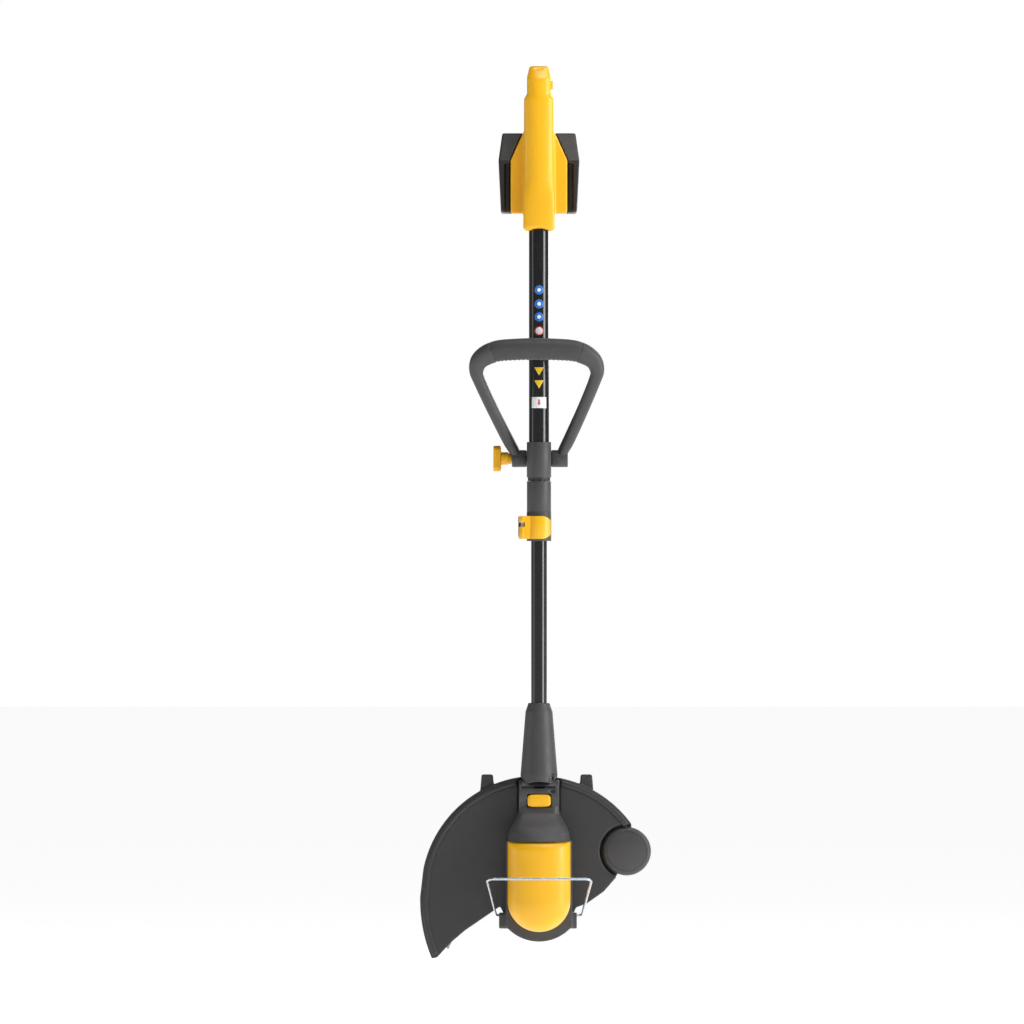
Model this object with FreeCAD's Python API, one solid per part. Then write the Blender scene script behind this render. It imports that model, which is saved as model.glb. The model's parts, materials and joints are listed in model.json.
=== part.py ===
import FreeCAD, Part
import math
import os

# String trimmer, millimetres. +Z runs up the shaft towards the rear handle, +X to the right and
# +Y to the back, the side that faces the ground in use. The origin is the middle of the hang eye
# in the handle, on the line of the shaft. Every height below is a Z in that frame.

# Rear handle
HANDLE_TOP = 10.0
GRIP_HALF_WIDTH = 21.0
GRIP_TIP_HALF_WIDTH = 16.8
SPINE_FRONT = -24.0
GRIP_BACK = 6.0
D_BACK = 56.0
D_BAR = 12.0
D_OPENING_TOP = -16.0
D_OPENING_BOTTOM = -74.0
DOCK_TOP = -81.0
DOCK_SHOULDER = -121.6
DOCK_BOTTOM = -195.8
DOCK_HALF_WIDTH = 39.6
DOCK_FRONT = 8.0
SLEEVE_BOTTOM = -221.0
SLEEVE_R = 22.2
SHELL_WALL = 2.6
EYE_R = 4.0
EYE_RIM_R = 6.5
EYE_HALF_LENGTH = 14.0
HOOK_SLOT_HALF_WIDTH = 6.0
HOOK_SLOT_FLOOR = 4.4
TRIGGER_PIVOT = (-5.0, -32.0)
TRIGGER_HALF_WIDTH = 9.0
LOCK_OFF = (-8.0, -17.0)
LOCK_OFF_R = 6.0
SHELL_SCREWS = ((-13.0, -100.0), (-19.0, -186.0), (46.0, -132.0), (46.0, -187.0),
                (50.0, -45.0), (30.0, -3.0))
SHELL_SCREW_HEAD_X = -14.0
TERMINAL_HALF_WIDTH = 20.0
BOARD_FACE = 30.0

# Battery
BATTERY_FRONT = 14.0
BATTERY_BACK = 110.0
BATTERY_TOP = -82.4
BATTERY_SHOULDER = -121.6
BATTERY_BOTTOM = -194.4
BATTERY_HALF_TOP = 51.5
BATTERY_HALF_WIDTH = 56.8
BATTERY_HALF_BOTTOM = 53.3
POCKET_FLOOR = 58.0
CASE_SPLIT = 90.0
CELL_R = 9.2
CELL_LENGTH = 65.0
CELL_ROWS = (78.2, 97.8)
CELL_LOWEST = -181.2
CELL_PITCH = 18.6
CELLS_HIGH = 5
BLADE_XS = (-12.0, 0.0, 12.0)
LATCH_Y = 77.0

# Shaft
UPPER_R = 14.0
UPPER_WALL = 1.5
UPPER_TOP = -130.0
UPPER_BOTTOM = -571.0
LOWER_R = 11.0
LOWER_WALL = 1.4
LOWER_TOP = -480.0
LOWER_BOTTOM = -905.0
BUSHING_R = 12.35
BUSHING_BORE = 11.1
CABLE_R = 6.0
CLAMP_TOP = -516.4
CLAMP_BOTTOM = -566.0
CLAMP_R = 17.1
SLEEVE_TOP = -571.3
RING_R = 15.8
SWIVEL_R = 16.9
COLLAR_TOP = -614.4
COLLAR_BOTTOM = -655.0
COLLAR_R = 17.2
LEVER_TOP = -620.0
LEVER_BOTTOM = -652.0
LEVER_PIVOT = (-23.0, -14.5)
LEVER_BOLT_Z = -632.0

# Loop handle
LOOP_PIVOT_Y = 26.0
LOOP_PIVOT_Z = -539.5
LOOP_LEAN = 22.0
LOOP_X = -4.0
LOOP_HALF_THICKNESS = 9.0
BOSS_R = 12.0
BOLT_R = 4.0
BOLT_FACE = 33.3
BOLT_BOSS_END = 40.5
KNOB_LEFT = -64.0
KNOB_RIGHT = -53.0

# Neck and tilt joint
NECK_TOP = -881.8
NECK_BOTTOM = -999.0
TILT_Z = -1012.0
BARREL_R = 22.3
BARREL_HALF_WIDTH = 28.3
SEAL_R = 25.1
SEAL_WALL = 0.8
SEAL_REACH = 57.0
TONGUE_HALF_WIDTH = 7.0
TONGUE_HALF_DEPTH = 6.0
TILT_RANGE = 40.0
TILT_PIN_R = 4.0
CHEEK_SCREW = (-14.0, -1003.5)
CHEEK_SCREW_X = 14.5
CHEEK_SCREW_TIP = 8.5
BUTTON_SPRING_XS = (-12.2, 12.2)
BUTTON_SPRING_Z = -1018.0
BUTTON_SPRING_BACK = -3.4

# Head
SPOOL_Z = -1155.0
CAP_TOP = -1075.0
CAP_ARC_Z = -1157.6
CAP_HALF_WIDTH = 44.0
CAP_FRONT = -62.0
BASE_FRONT = -8.0
BASE_BACK = 14.0
BASE_HALF_WIDTH = 46.5
BASE_ARC_R = 61.0
WALL = 2.5
EAR_Y = 7.0
EAR_Z = -1179.5
EARS = ((-56.0, -44.0), (44.0, 53.0))
WIRE_R = 1.75
HEAD_SCREWS = ((-38.5, -1086.0), (38.5, -1086.0), (-25.0, -1186.0), (25.0, -1186.0))

# Guard, wheel and spool
GUARD_CENTRE = (-2.2, -1148.1)
GUARD_R = 163.4
GUARD_LEFT_CENTRE = (49.7, -1157.9)
GUARD_LEFT_R = 216.4
GUARD_BACK = 50.0
GUARD_SHEET = 3.0
GUARD_TIP = (-149.8, -1240.2)
WHEEL = (123.0, -1090.0)
WHEEL_R = 34.0
POCKET_R = 38.0
POCKET_BACK = 33.0
SHAFT_R = 4.0
MOTOR_R = 25.0
BEARING_R = 8.0
SPOOL_R = 38.0
SPOOL_FRONT = 20.0
SPOOL_BACK = 50.0
KNOB_R = 17.0
EYELET_R = 3.4
EYELET_Y = 36.0
GUARD_SCREWS = ((-36.0, -1120.0), (36.0, -1120.0), (-34.0, -1140.0), (34.0, -1140.0))
CUTTER_SCREW = (-128.0, -1207.0)
CUTTER_Y = 41.5
CUTTER_SHEET = 1.2

# Screws
SCREW_R = 1.75
SCREW_HEAD_R = 3.5
SCREW_HEAD = 2.5
SCREW_HOLE_R = 3.8
SCREW_SLOT = 0.5
SCREW_BOSS_R = 4.5

# Longer than any section of the trimmer that a tool passes through
FULL = 400.0


def box(x0, x1, y0, y1, z0, z1):
    return Part.makeBox(x1 - x0, y1 - y0, z1 - z0, FreeCAD.Vector(x0, y0, z0))


def rod_x(radius, x0, x1, y, z):
    return Part.makeCylinder(radius, x1 - x0, FreeCAD.Vector(x0, y, z), FreeCAD.Vector(1, 0, 0))


def rod_y(radius, y0, y1, x, z):
    return Part.makeCylinder(radius, y1 - y0, FreeCAD.Vector(x, y0, z), FreeCAD.Vector(0, 1, 0))


def rod_z(radius, z0, z1, x=0.0, y=0.0):
    return Part.makeCylinder(radius, z1 - z0, FreeCAD.Vector(x, y, z0), FreeCAD.Vector(0, 0, 1))


def tube_z(outer, inner, z0, z1):
    return rod_z(outer, z0, z1).cut(rod_z(inner, z0 - 1, z1 + 1))


def ring_y(outer, inner, y0, y1, x, z):
    return rod_y(outer, y0, y1, x, z).cut(rod_y(inner, y0 - 1, y1 + 1, x, z))


def arc_point(centre, radius, degrees):
    turn = math.radians(degrees)
    return centre[0] + radius * math.cos(turn), centre[1] + radius * math.sin(turn)


def unit(start, end):
    length = math.hypot(end[0] - start[0], end[1] - start[1])
    return (end[0] - start[0]) / length, (end[1] - start[1]) / length, length


def rounded_corner(before, corner, after, radius):
    """The start, middle and end of the arc that rounds one corner of a flat outline."""
    ax, ay, a_len = unit(corner, before)
    bx, by, b_len = unit(corner, after)
    half = math.acos(max(-1.0, min(1.0, ax * bx + ay * by))) / 2
    reach = min(radius / math.tan(half), 0.48 * a_len, 0.48 * b_len)
    middle_x, middle_y, _ = unit((0, 0), (ax + bx, ay + by))
    depth = reach / math.cos(half) - reach * math.tan(half)
    start = (corner[0] + ax * reach, corner[1] + ay * reach)
    middle = (corner[0] + middle_x * depth, corner[1] + middle_y * depth)
    end = (corner[0] + bx * reach, corner[1] + by * reach)
    return start, middle, end


def flat_face(points, radius, place):
    """A face from a closed outline; place turns its two coordinates into a point in space."""
    edges = []
    corners = []
    count = len(points)
    for index, corner in enumerate(points):
        before = points[index - 1]
        after = points[(index + 1) % count]
        if radius:
            corners.append(rounded_corner(before, corner, after, radius))
        else:
            corners.append((corner, None, corner))
    for index, (start, middle, end) in enumerate(corners):
        if middle:
            edges.append(Part.Arc(place(*start), place(*middle), place(*end)).toShape())
        following = corners[(index + 1) % count][0]
        if math.hypot(following[0] - end[0], following[1] - end[1]) > 0.001:
            edges.append(Part.makeLine(place(*end), place(*following)))
    return Part.Face(Part.Wire(edges))


def front_prism(points, y0, y1, radius=0.0):
    """An outline in X and Z, as seen from the front, pulled from y0 to y1."""
    face = flat_face(points, radius, lambda x, z: FreeCAD.Vector(x, y0, z))
    return face.extrude(FreeCAD.Vector(0, y1 - y0, 0))


def side_prism(points, x0, x1, radius=0.0):
    """An outline in Y and Z, as seen from the side, pulled from x0 to x1."""
    face = flat_face(points, radius, lambda y, z: FreeCAD.Vector(x0, y, z))
    return face.extrude(FreeCAD.Vector(x1 - x0, 0, 0))


def top_prism(points, z0, z1, radius=0.0):
    """An outline in X and Y, as seen from above, pulled from z0 to z1."""
    face = flat_face(points, radius, lambda x, y: FreeCAD.Vector(x, y, z0))
    return face.extrude(FreeCAD.Vector(0, 0, z1 - z0))


def mirrored(points):
    """A right-hand half outline, given from top to bottom, with its left-hand mirror image."""
    return [*points, *[(-u, v) for u, v in reversed(points)]]


def fuse(*shapes):
    return shapes[0].multiFuse(list(shapes[1:])).removeSplitter()


def cut(shape, *tools):
    return shape.cut(list(tools)).removeSplitter()


def screw_x(x_head, x_tip, y, z):
    """A cross-head screw along X, its head at x_head."""
    step = SCREW_HEAD if x_tip > x_head else -SCREW_HEAD
    head = rod_x(SCREW_HEAD_R, min(x_head, x_head + step), max(x_head, x_head + step), y, z)
    shank = rod_x(SCREW_R, min(x_head + step, x_tip), max(x_head + step, x_tip), y, z)
    recess = fuse(box(-40, 40, y - SCREW_SLOT, y + SCREW_SLOT, z - 2, z + 2),
                  box(-40, 40, y - 2, y + 2, z - SCREW_SLOT, z + SCREW_SLOT))
    near_face = rod_x(3, min(x_head, x_head + step / 2), max(x_head, x_head + step / 2), y, z)
    return cut(fuse(head, shank), recess.common(near_face))


def screw_y(y_head, y_tip, x, z):
    """A cross-head screw along Y, driven from the back, its head at y_head."""
    head = rod_y(SCREW_HEAD_R, y_head - SCREW_HEAD, y_head, x, z)
    shank = rod_y(SCREW_R, y_tip, y_head - SCREW_HEAD, x, z)
    slots = fuse(box(x - 2, x + 2, y_head - 1.3, y_head + 1, z - SCREW_SLOT, z + SCREW_SLOT),
                 box(x - SCREW_SLOT, x + SCREW_SLOT, y_head - 1.3, y_head + 1, z - 2, z + 2))
    return cut(fuse(head, shank), slots)


def save(node, *solids):
    shape = solids[0] if len(solids) == 1 else Part.makeCompound(list(solids))
    shape.exportStep(f"parts/{node}.step")


def handle_form(inset):
    """The rear handle's outer form, or the hollow inside it when inset is the wall thickness."""
    top = HANDLE_TOP - inset
    front = SPINE_FRONT + inset
    back = D_BACK - inset
    foot = SLEEVE_BOTTOM + (15.0 if inset else 0.0)
    dock_foot = DOCK_BOTTOM + inset
    side = [(front, foot), (front, -38.0), (front + 3.0, -8.0), (-9.0, top), (back - 14.0, top),
            (back, -8.0), (back, dock_foot), (SLEEVE_R - inset, dock_foot), (SLEEVE_R - inset, foot)]
    spine_half = mirrored([(GRIP_TIP_HALF_WIDTH - 4 - inset, top + 1), (GRIP_TIP_HALF_WIDTH - inset, -6.0),
                           (GRIP_TIP_HALF_WIDTH - inset, -30.0), (GRIP_HALF_WIDTH - inset, -36.0),
                           (GRIP_HALF_WIDTH - inset, DOCK_SHOULDER), (SLEEVE_R - inset, foot)])
    dock_half = mirrored([(SLEEVE_R - 1 - inset, DOCK_TOP - inset),
                          (DOCK_HALF_WIDTH - inset, DOCK_SHOULDER - inset),
                          (DOCK_HALF_WIDTH - inset, dock_foot)])
    hole_front = GRIP_BACK - inset
    hole_back = D_BACK - D_BAR + inset
    hole_top = D_OPENING_TOP + inset
    hole_foot = D_OPENING_BOTTOM - inset
    opening = side_prism([(hole_front, hole_foot), (hole_front, hole_top), (hole_back, hole_top),
                          (hole_back, hole_foot)], -FULL, FULL, 12.0)
    spine = side_prism(side, -FULL, FULL, 8.0).common(front_prism(spine_half, -FULL, FULL, 6.0))
    dock = front_prism(dock_half, DOCK_FRONT + inset, back, 3.0)
    return fuse(cut(spine, opening), dock)


def handle_shells():
    outer = handle_form(0.0)
    hollow = handle_form(SHELL_WALL)
    kept = [rod_x(EYE_RIM_R + 3, -FULL, FULL, 0, 0)]
    kept += [rod_x(5.0, -FULL, FULL, y, z) for y, z in SHELL_SCREWS]
    kept += [box(-17, 17, SPINE_FRONT, 18, z, z + 3) for z in (-143.0, -172.0)]
    hollow = cut(hollow, *kept)
    openings = [rod_x(EYE_RIM_R, -FULL, FULL, 0, 0),
                rod_z(UPPER_R, SLEEVE_BOTTOM - 1, UPPER_TOP),
                rod_x(LOCK_OFF_R + 0.35, 0, FULL, *LOCK_OFF),
                box(-TRIGGER_HALF_WIDTH - 0.6, TRIGGER_HALF_WIDTH + 0.6, 1, GRIP_BACK + 10,
                    D_OPENING_BOTTOM, -25),
                box(-TERMINAL_HALF_WIDTH - 0.2, TERMINAL_HALF_WIDTH + 0.2, 44, D_BACK + 1, -180.2, -149.8),
                box(-HOOK_SLOT_HALF_WIDTH, HOOK_SLOT_HALF_WIDTH, -FULL, -EYE_RIM_R - 3.5,
                    HOOK_SLOT_FLOOR, FULL)]
    for y, z in SHELL_SCREWS:
        openings.append(rod_x(SCREW_HOLE_R, -FULL, SHELL_SCREW_HEAD_X + SCREW_HEAD, y, z))
        openings.append(rod_x(SCREW_R, -12, 12, y, z))
    body = cut(outer, hollow, *openings)
    save("handle_shell_left", body.common(box(-FULL, 0, -FULL, FULL, -FULL, FULL)))
    save("handle_shell_right", body.common(box(0, FULL, -FULL, FULL, -FULL, FULL)))


def handle_fittings():
    eye = rod_x(EYE_RIM_R, -EYE_HALF_LENGTH, EYE_HALF_LENGTH, 0, 0)
    save("hang_eye", cut(eye, rod_x(EYE_R, -FULL, FULL, 0, 0)))
    save("handle_screws", *[screw_x(SHELL_SCREW_HEAD_X, 12.0, y, z) for y, z in SHELL_SCREWS])
    save("power_switch", box(-8, 8, -20, -11.5, -66, -42))
    board = box(-32, 32, BOARD_FACE, BOARD_FACE + 1.6, -188, -130)
    capacitor_places = ((-22.0, -170.0), (-22.0, -155.0), (22.0, -156.0))
    capacitors = [rod_y(5, BOARD_FACE + 1.6, 43, x, z) for x, z in capacitor_places]
    chips = [box(x, x + 12, BOARD_FACE - 2, BOARD_FACE, -176, -164) for x in (-26.0, 2.0, 18.0)]
    terminal = box(-TERMINAL_HALF_WIDTH, TERMINAL_HALF_WIDTH, 46, D_BACK, -180, -150)
    blades = [box(x - 0.4, x + 0.4, D_BACK, 63, -176, -154) for x in BLADE_XS]
    save("control_board", board, *capacitors, *chips, terminal, *blades)


def trigger():
    profile = [(-9.0, -29.0), (1.0, -26.5), (11.0, -33.0), (13.5, -48.0), (11.5, -62.0), (8.0, -69.0),
               (-3.0, -69.0), (-8.0, -42.0)]
    body = side_prism(profile, -TRIGGER_HALF_WIDTH, TRIGGER_HALF_WIDTH, 3.0)
    save("trigger", cut(body, rod_x(2.1, -FULL, FULL, *TRIGGER_PIVOT)))
    save("trigger_pin", rod_x(2.0, -14.0, 14.0, *TRIGGER_PIVOT))
    coils = []
    for turn in range(3):
        x = 10.0 + 1.1 * turn
        outer = rod_x(3.2, x, x + 1.0, *TRIGGER_PIVOT)
        coils.append(outer.cut(rod_x(2.2, x - 1, x + 2, *TRIGGER_PIVOT)))
    save("trigger_spring", *coils)
    button = rod_x(LOCK_OFF_R, 6.0, 19.6, *LOCK_OFF)
    outer_edges = [edge for edge in button.Edges if edge.BoundBox.XMin > 19]
    save("lock_off_button", button.makeFillet(1.2, outer_edges))


def battery_form():
    front = mirrored([(BATTERY_HALF_TOP, BATTERY_TOP), (BATTERY_HALF_WIDTH, BATTERY_SHOULDER),
                      (BATTERY_HALF_BOTTOM, BATTERY_BOTTOM)])
    side = [(BATTERY_FRONT, BATTERY_BOTTOM), (BATTERY_FRONT, BATTERY_SHOULDER), (48.0, BATTERY_TOP),
            (100.0, BATTERY_TOP), (BATTERY_BACK, -92.0), (BATTERY_BACK, BATTERY_BOTTOM)]
    form = front_prism(front, -FULL, FULL, 3.0).common(side_prism(side, -FULL, FULL, 2.5))
    pocket_half = DOCK_HALF_WIDTH + 1
    pocket = mirrored([(23.5, -60.0), (23.5, BATTERY_TOP - 1), (pocket_half, DOCK_SHOULDER - 0.4),
                       (pocket_half, -230.0)])
    return cut(form, front_prism(pocket, 0.0, POCKET_FLOOR))


def battery():
    cell_top = CELL_LOWEST + CELL_PITCH * (CELLS_HIGH - 1) + CELL_R
    cell_space = box(-48, 48, 68.6, 107.4, CELL_LOWEST - CELL_R - 0.4, cell_top + 0.2)
    arm_spaces = [box(x, x + 9.5, 28.5, 64, -190.5, -112) for x in (-52.0, 42.5)]
    rails = [box(x, x + 8.2, 10, 26, -230, -125.8) for x in (-48.2, 40.0)]
    slots = [box(x - 1.6, x + 1.6, 50, 66, -230, -148) for x in BLADE_XS]
    latch_space = box(-12.4, 12.4, LATCH_Y - 7.4, LATCH_Y + 7.4, -95, -70)
    case = cut(battery_form(), cell_space, *arm_spaces, *rails, *slots, latch_space)
    save("battery_case_front", case.common(box(-FULL, FULL, -FULL, CASE_SPLIT, -FULL, FULL)))
    save("battery_case_rear", case.common(box(-FULL, FULL, CASE_SPLIT, FULL, -FULL, FULL)))
    cells = []
    for y in CELL_ROWS:
        for level in range(CELLS_HIGH):
            z = CELL_LOWEST + CELL_PITCH * level
            cells.append(rod_x(CELL_R, -CELL_LENGTH / 2, CELL_LENGTH / 2, y, z))
    save("battery_cells", *cells)
    clips = []
    for x in BLADE_XS:
        clips.append(box(x - 1.4, x - 1.0, 58, 65, -172, -156))
        clips.append(box(x + 1.0, x + 1.4, 58, 65, -172, -156))
    save("battery_board", box(38, 39.6, 70, 106, -186, -104), box(36, 38, 80, 92, -160, -148), *clips)
    latch = box(-12, 12, LATCH_Y - 7, LATCH_Y + 7, -92, -79.6)
    upper_edges = [edge for edge in latch.Edges if edge.BoundBox.ZMin > -80]
    save("battery_latch", cut(latch.makeFillet(1.5, upper_edges), rod_z(4, -93, -84, 0, LATCH_Y)))
    spring = rod_z(3.6, -95, -84.2, 0, LATCH_Y)
    save("latch_spring", spring.cut(rod_z(2.6, -96, -83, 0, LATCH_Y)))


def shaft():
    save("upper_tube", tube_z(UPPER_R, UPPER_R - UPPER_WALL, UPPER_BOTTOM, UPPER_TOP))
    save("coil_cable", tube_z(CABLE_R, CABLE_R - 2.5, -875.0, -150.0))
    save("lower_tube", tube_z(LOWER_R, LOWER_R - LOWER_WALL, LOWER_BOTTOM, LOWER_TOP))
    save("guide_bushing", tube_z(BUSHING_R, BUSHING_BORE, -650.0, -500.0))
    teeth = [rod_z(1.3, UPPER_BOTTOM - 1, UPPER_BOTTOM + 3, *arc_point((0, 0), RING_R, 30 * step))
             for step in range(12)]
    save("swivel_ring", cut(tube_z(RING_R, UPPER_R, UPPER_BOTTOM, CLAMP_BOTTOM), *teeth))
    save("swivel_sleeve", tube_z(SWIVEL_R, BUSHING_R, COLLAR_TOP, SLEEVE_TOP))


def handle_clamp():
    collar = rod_z(CLAMP_R, CLAMP_BOTTOM, CLAMP_TOP)
    bore = rod_z(UPPER_R, -FULL * 2, 0)
    lug = fuse(rod_x(BOSS_R, -CLAMP_R, CLAMP_R, LOOP_PIVOT_Y, LOOP_PIVOT_Z),
               box(-CLAMP_R, CLAMP_R, 8, LOOP_PIVOT_Y, LOOP_PIVOT_Z - BOSS_R, LOOP_PIVOT_Z + BOSS_R))
    spine = box(-9, 9, 10, 21, CLAMP_BOTTOM, CLAMP_TOP)
    rear = fuse(collar.common(box(-FULL, FULL, 0, FULL, -FULL * 2, 0)), lug, spine)
    rear = cut(rear, bore, rod_x(BOLT_R, -FULL, FULL, LOOP_PIVOT_Y, LOOP_PIVOT_Z))
    save("clamp_front", collar.common(box(-FULL, FULL, -FULL, 0, -FULL * 2, 0)).cut(bore))
    save("clamp_rear", rear)


def loop_handle():
    outline = mirrored([(38.0, -9.0), (52.0, 28.0), (94.0, 137.0), (82.0, 176.0), (30.0, 184.0)])
    inner = mirrored([(24.0, -9.0), (34.0, 28.0), (74.5, 131.0), (66.0, 146.0), (30.0, 151.0)])
    ring = front_prism(outline, -LOOP_HALF_THICKNESS, LOOP_HALF_THICKNESS, 26.0)
    hole = front_prism(inner, -FULL, FULL, 12.0)
    below = box(-24, 24, -FULL, FULL, -30, 0)
    bare = cut(ring, hole, below)
    grip_cut = box(-62, 62, -FULL, FULL, 140, FULL)
    sleeve = front_prism(mirrored([(62.0, 143.4), (62.0, 182.0), (30.0, 186.0)]), -12.5, 12.5)
    grip = cut(sleeve, front_prism(mirrored([(66.0, 100.0), (66.0, 143.5), (30.0, 148.5)]), -FULL, FULL))
    lean = FreeCAD.Vector(1, 0, 0)
    pivot = FreeCAD.Vector(0, LOOP_PIVOT_Y, LOOP_PIVOT_Z)
    bosses = [rod_x(BOSS_R, -38, -17.2, 0, 0), rod_x(BOSS_R, 17.2, BOLT_BOSS_END, 0, 0)]
    frame = cut(bare, grip_cut).translated(FreeCAD.Vector(LOOP_X, 0, 0))
    core = bare.common(grip_cut).translated(FreeCAD.Vector(LOOP_X, 0, 0))
    grip = grip.translated(FreeCAD.Vector(LOOP_X, 0, 0))
    frame = fuse(frame, core.common(grip), *bosses)
    spot_faces = [rod_x(9.3, BOLT_FACE - 0.3, 60, 0, 0), rod_x(10.5, -60, -42.8, 0, 0)]
    clamp_room = box(-17.2, 17.2, -FULL, FULL, -30, 60)
    frame = cut(frame, rod_x(BOLT_R + 0.3, -FULL, FULL, 0, 0), clamp_room, *spot_faces)
    for node, solid in (("loop_handle", frame), ("loop_grip", grip.cut(core))):
        leaning = solid.translated(pivot)
        leaning.rotate(pivot, lean, LOOP_LEAN)
        save(node, leaning)


def loop_fastening():
    y, z = LOOP_PIVOT_Y, LOOP_PIVOT_Z
    washer = rod_x(9.0, BOLT_FACE, BOLT_FACE + 1.5, y, z)
    hexagon = [(y + 7.5 * math.cos(turn), z + 7.5 * math.sin(turn))
               for turn in [math.radians(60 * step) for step in range(6)]]
    head = side_prism(hexagon, BOLT_FACE + 1.5, BOLT_FACE + 6.5)
    save("loop_bolt", fuse(rod_x(BOLT_R, -52, 35, y, z), washer, head))
    stem = rod_x(9.0, KNOB_RIGHT, -43.2, y, z)
    bar = side_prism([(y - 7, z - 18), (y - 7, z + 18), (y + 7, z + 18), (y + 7, z - 18)],
                     KNOB_LEFT, KNOB_RIGHT, 6.5)
    edges = [edge for edge in bar.Edges if abs(edge.BoundBox.XMin - edge.BoundBox.XMax) < 0.1]
    save("loop_knob", cut(fuse(bar.makeFillet(2.2, edges), stem), rod_x(BOLT_R + 0.1, -53, 0, y, z)))


def lock():
    x, y = LEVER_PIVOT
    body = rod_z(COLLAR_R, COLLAR_BOTTOM, COLLAR_TOP)
    ears = box(-29, -8, -9, 9, LEVER_BOTTOM + 3, LEVER_TOP - 1)
    body = fuse(body, ears)
    bores = [rod_z(BUSHING_R, -650, 0), rod_z(LOWER_R + 0.4, -FULL * 2, 0)]
    slit = box(-FULL, -10, -1, 1, -FULL * 2, 0)
    save("lock_collar", cut(body, *bores, slit, rod_y(2.6, -FULL, FULL, x, LEVER_BOLT_Z)))
    pin = rod_z(2.5, LEVER_BOTTOM + 1, LEVER_TOP - 1, x, y)
    pin = cut(pin, rod_y(2.2, -FULL, FULL, x, LEVER_BOLT_Z))
    bolt = rod_y(2.2, y, 14, x, LEVER_BOLT_Z)
    hexagon = [(x + 5 * math.cos(turn), LEVER_BOLT_Z + 5 * math.sin(turn))
               for turn in [math.radians(60 * step) for step in range(6)]]
    nut = cut(front_prism(hexagon, 9, 13), rod_y(2.2, 0, FULL, x, LEVER_BOLT_Z))
    save("lock_fasteners", pin, bolt, nut)
    band = rod_z(21.4, LEVER_BOTTOM, LEVER_TOP).cut(rod_z(17.7, LEVER_BOTTOM - 1, LEVER_TOP + 1))
    reach = [(0.0, 0.0), (-15.0, -11.5), (-40.0, -40.0), (30.0, -40.0), (19.0, -16.0)]
    band = band.common(top_prism(reach, LEVER_BOTTOM - 1, LEVER_TOP + 1))
    bridge = top_prism([(-24.5, -19.4), (-12.0, -18.9), (-13.4, -12.0), (-19.0, -11.5)],
                       LEVER_BOTTOM, LEVER_TOP)
    boss = rod_z(5.2, LEVER_BOTTOM, LEVER_TOP, x, y)
    gap = box(x - FULL, x + 3, y - 6, FULL, LEVER_BOLT_Z - 3, LEVER_BOLT_Z + 3)
    lever = cut(fuse(band, bridge, boss), rod_z(2.6, -FULL * 2, 0, x, y), rod_z(17.7, -FULL * 2, 0))
    end = rod_y((LEVER_TOP - LEVER_BOTTOM) / 2, -FULL, 0, 3.5, (LEVER_TOP + LEVER_BOTTOM) / 2)
    outline = fuse(box(-FULL, 3.5, -FULL, FULL, LEVER_BOTTOM, LEVER_TOP), end)
    save("lock_lever", cut(lever, gap).common(outline))


def neck():
    radii = [(15.0, NECK_TOP), (16.1, NECK_TOP - 4), (18.9, NECK_TOP - 12), (25.9, -982.0),
             (25.6, NECK_BOTTOM)]
    outline = [(0.0, NECK_TOP), *radii, (0.0, NECK_BOTTOM)]
    face = flat_face(outline, 0.0, lambda x, z: FreeCAD.Vector(x, 0, z))
    cone = face.revolve(FreeCAD.Vector(0, 0, 0), FreeCAD.Vector(0, 0, 1), 360)
    hollow_outline = [(0.0, -908.0), (15.5, -908.0), (21.5, -972.0), (0.0, -972.0)]
    hollow_face = flat_face(hollow_outline, 0.0, lambda x, z: FreeCAD.Vector(x, 0, z))
    hollow = hollow_face.revolve(FreeCAD.Vector(0, 0, 0), FreeCAD.Vector(0, 0, 1), 360)
    arch = rod_y(50.0, -FULL, FULL, 0, -990.0 - 50.0)
    under = rod_x(SEAL_R + SEAL_WALL, -FULL, FULL, 0, TILT_Z)
    tongue_root = box(-TONGUE_HALF_WIDTH, TONGUE_HALF_WIDTH, -TONGUE_HALF_DEPTH, TONGUE_HALF_DEPTH,
                      TILT_Z, -970)
    screws = [(-15.0, -984.5, 17.0), (15.0, -984.5, 17.0)]
    holes = []
    for y, z, x in screws:
        holes.append(rod_x(SCREW_HOLE_R, x - SCREW_HEAD, FULL, y, z))
        holes.append(rod_x(SCREW_R, -12, x, y, z))
    tube_bore = rod_z(LOWER_R, LOWER_BOTTOM, 0)
    body = cut(cone, hollow, arch, under, tongue_root, tube_bore, rod_z(LOWER_R - 2, -909, 0), *holes)
    save("neck_shell_left", body.common(box(-FULL, 0, -FULL, FULL, -FULL * 3, 0)))
    save("neck_shell_right", body.common(box(0, FULL, -FULL, FULL, -FULL * 3, 0)))
    save("neck_screws", *[screw_x(x, -12.0, y, z) for y, z, x in screws])
    tongue = fuse(rod_x(10.0, -TONGUE_HALF_WIDTH, TONGUE_HALF_WIDTH, 0, TILT_Z), tongue_root,
                  box(-12, 12, -12, 12, -972, -962))
    save("tilt_hub", cut(tongue, rod_x(4.06, -FULL, FULL, 0, TILT_Z)))
    shell = rod_x(SEAL_R + SEAL_WALL, -24, 24, 0, TILT_Z).cut(rod_x(SEAL_R, -FULL, FULL, 0, TILT_Z))
    centre = (0.0, TILT_Z)
    fan = [centre, arc_point(centre, 40, 90 + SEAL_REACH), arc_point(centre, 40, 90 - SEAL_REACH)]
    strip = shell.common(side_prism(fan, -FULL, FULL))
    save("joint_seal", cut(strip, tongue_root))


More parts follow.
